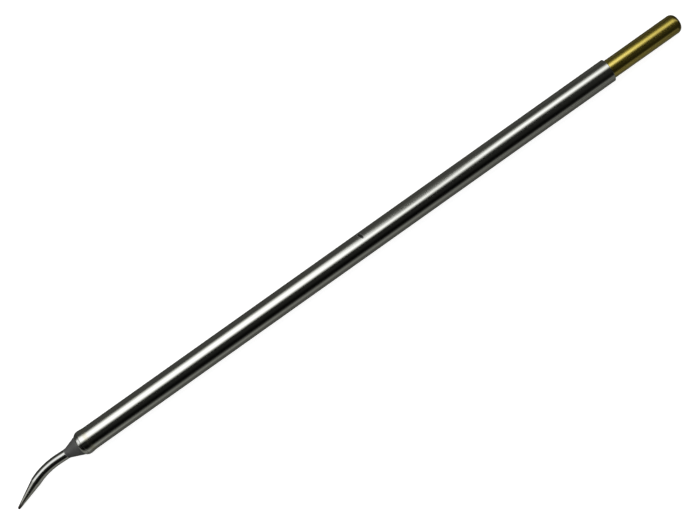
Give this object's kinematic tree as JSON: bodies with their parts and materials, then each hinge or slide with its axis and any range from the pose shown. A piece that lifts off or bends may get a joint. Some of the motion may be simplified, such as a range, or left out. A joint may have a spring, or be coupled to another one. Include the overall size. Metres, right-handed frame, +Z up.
{
  "type": "soldering iron tip cartridge",
  "caption": "Long thin soldering cartridge with a bent conical tip, a dull cone, a polished steel tube with its heater inside, and a gold-plated round-ended contact pin.",
  "frame": {"origin": "bottom centre of the whole cartridge as it lies on a flat surface", "axes": "+X along the tube towards the contact pin, so the working tip is at -X; +Z up; the tip is bent towards -Y and down, until its end touches the surface"},
  "size_m": [0.1556, 0.0058, 0.005],
  "materials": {
    "tinned_copper": "bright tinned point and shoulder, dull dark grey cone, over plated copper",
    "stainless": "polished drawn stainless tube",
    "gold_plate": "thin bright gold plating over brass",
    "ceramic": "matt fired ceramic",
    "magnetic_alloy": "dull nickel iron alloy",
    "copper_wire": "flat copper wire",
    "insulating_film": "amber high-temperature film",
    "insulating_plastic": "white high-temperature plastic",
    "brass_rod": "drawn brass"
  },
  "bodies": {
    "root": {"solder_tip": "tinned_copper", "barrel_tube": "stainless", "contact_pin": "gold_plate", "front_washer": "ceramic", "rear_washer": "ceramic", "heater_sleeve": "magnetic_alloy", "coil_liner": "insulating_film", "heater_coil": "copper_wire", "coil_cover": "insulating_film", "flux_shield": "magnetic_alloy", "lead_joint": "brass_rod", "centre_rod": "brass_rod", "contact_bush": "insulating_plastic", "spacer_bead_1": "insulating_plastic", "spacer_bead_2": "insulating_plastic", "spacer_bead_3": "insulating_plastic", "spacer_bead_4": "insulating_plastic"}
  },
  "joints": []
}
